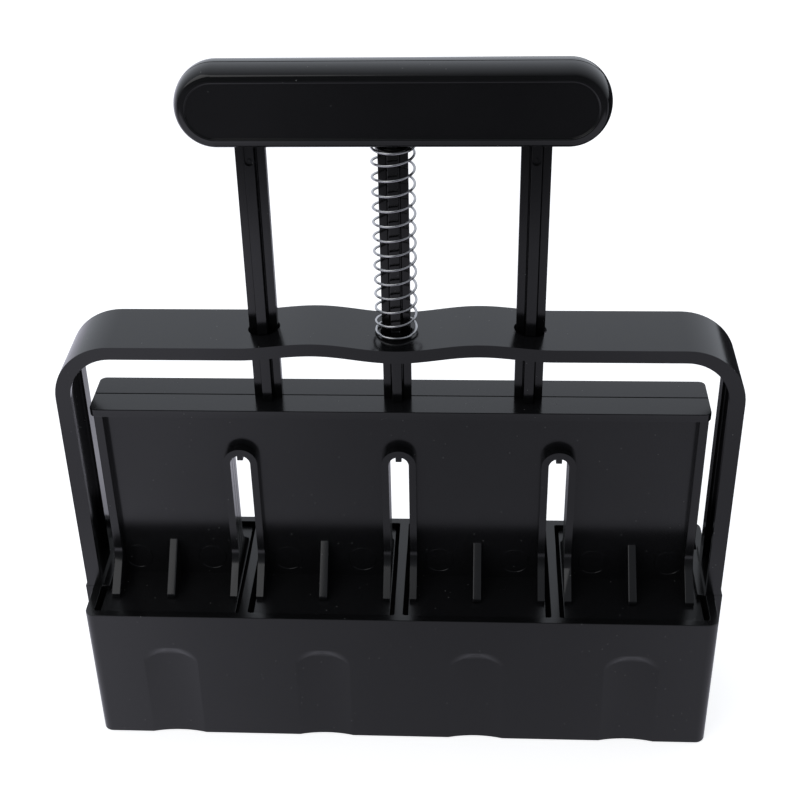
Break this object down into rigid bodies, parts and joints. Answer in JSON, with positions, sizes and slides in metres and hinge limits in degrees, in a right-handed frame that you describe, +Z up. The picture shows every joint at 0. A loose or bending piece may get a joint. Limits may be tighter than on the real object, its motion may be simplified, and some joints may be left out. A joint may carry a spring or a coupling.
{
  "type": "soil blocker",
  "caption": "Hand press for potting-mix blocks: open mould box with a row of square cells under an arched yoke, and a spring-returned plunger with handle, rods and press plates.",
  "frame": {"origin": "centre of the mould box's lower edge, on the ground", "axes": "X along the row of cells, +Y to the back, +Z up towards the handle"},
  "size_m": [0.2176, 0.057, 0.2348],
  "materials": {
    "mould_plastic": "moulded black, satin sheen",
    "yoke_plastic": "moulded black, satin sheen",
    "handle_plastic": "moulded black, satin sheen",
    "rod_plastic": "moulded black, satin sheen",
    "carriage_plastic": "moulded black, satin sheen",
    "plate_plastic": "moulded black, satin sheen",
    "spring_steel": "bright drawn wire",
    "screw_steel": "zinc plated"
  },
  "bodies": {
    "mould": {"mould_box": "mould_plastic", "yoke_frame": "yoke_plastic", "yoke_screws": "screw_steel", "return_spring": "spring_steel"},
    "plunger": {"handle_front_shell": "handle_plastic", "handle_back_shell": "handle_plastic", "handle_screws": "screw_steel", "left_rod": "rod_plastic", "centre_rod": "rod_plastic", "right_rod": "rod_plastic", "carriage_front_shell": "carriage_plastic", "carriage_back_shell": "carriage_plastic", "carriage_plugs": "carriage_plastic", "press_plate_1": "plate_plastic", "seed_pin_1": "plate_plastic", "press_plate_2": "plate_plastic", "seed_pin_2": "plate_plastic", "press_plate_3": "plate_plastic", "seed_pin_3": "plate_plastic", "press_plate_4": "plate_plastic", "seed_pin_4": "plate_plastic"}
  },
  "joints": [
    {"name": "plunger_slide", "type": "slide", "parent": "mould", "child": "plunger", "axis": [0, 0, 1], "range_m": [-0.0476, 0], "stiffness_N_per_m": 160, "springref_m": 0.03, "deforming": ["return_spring"]}
  ]
}
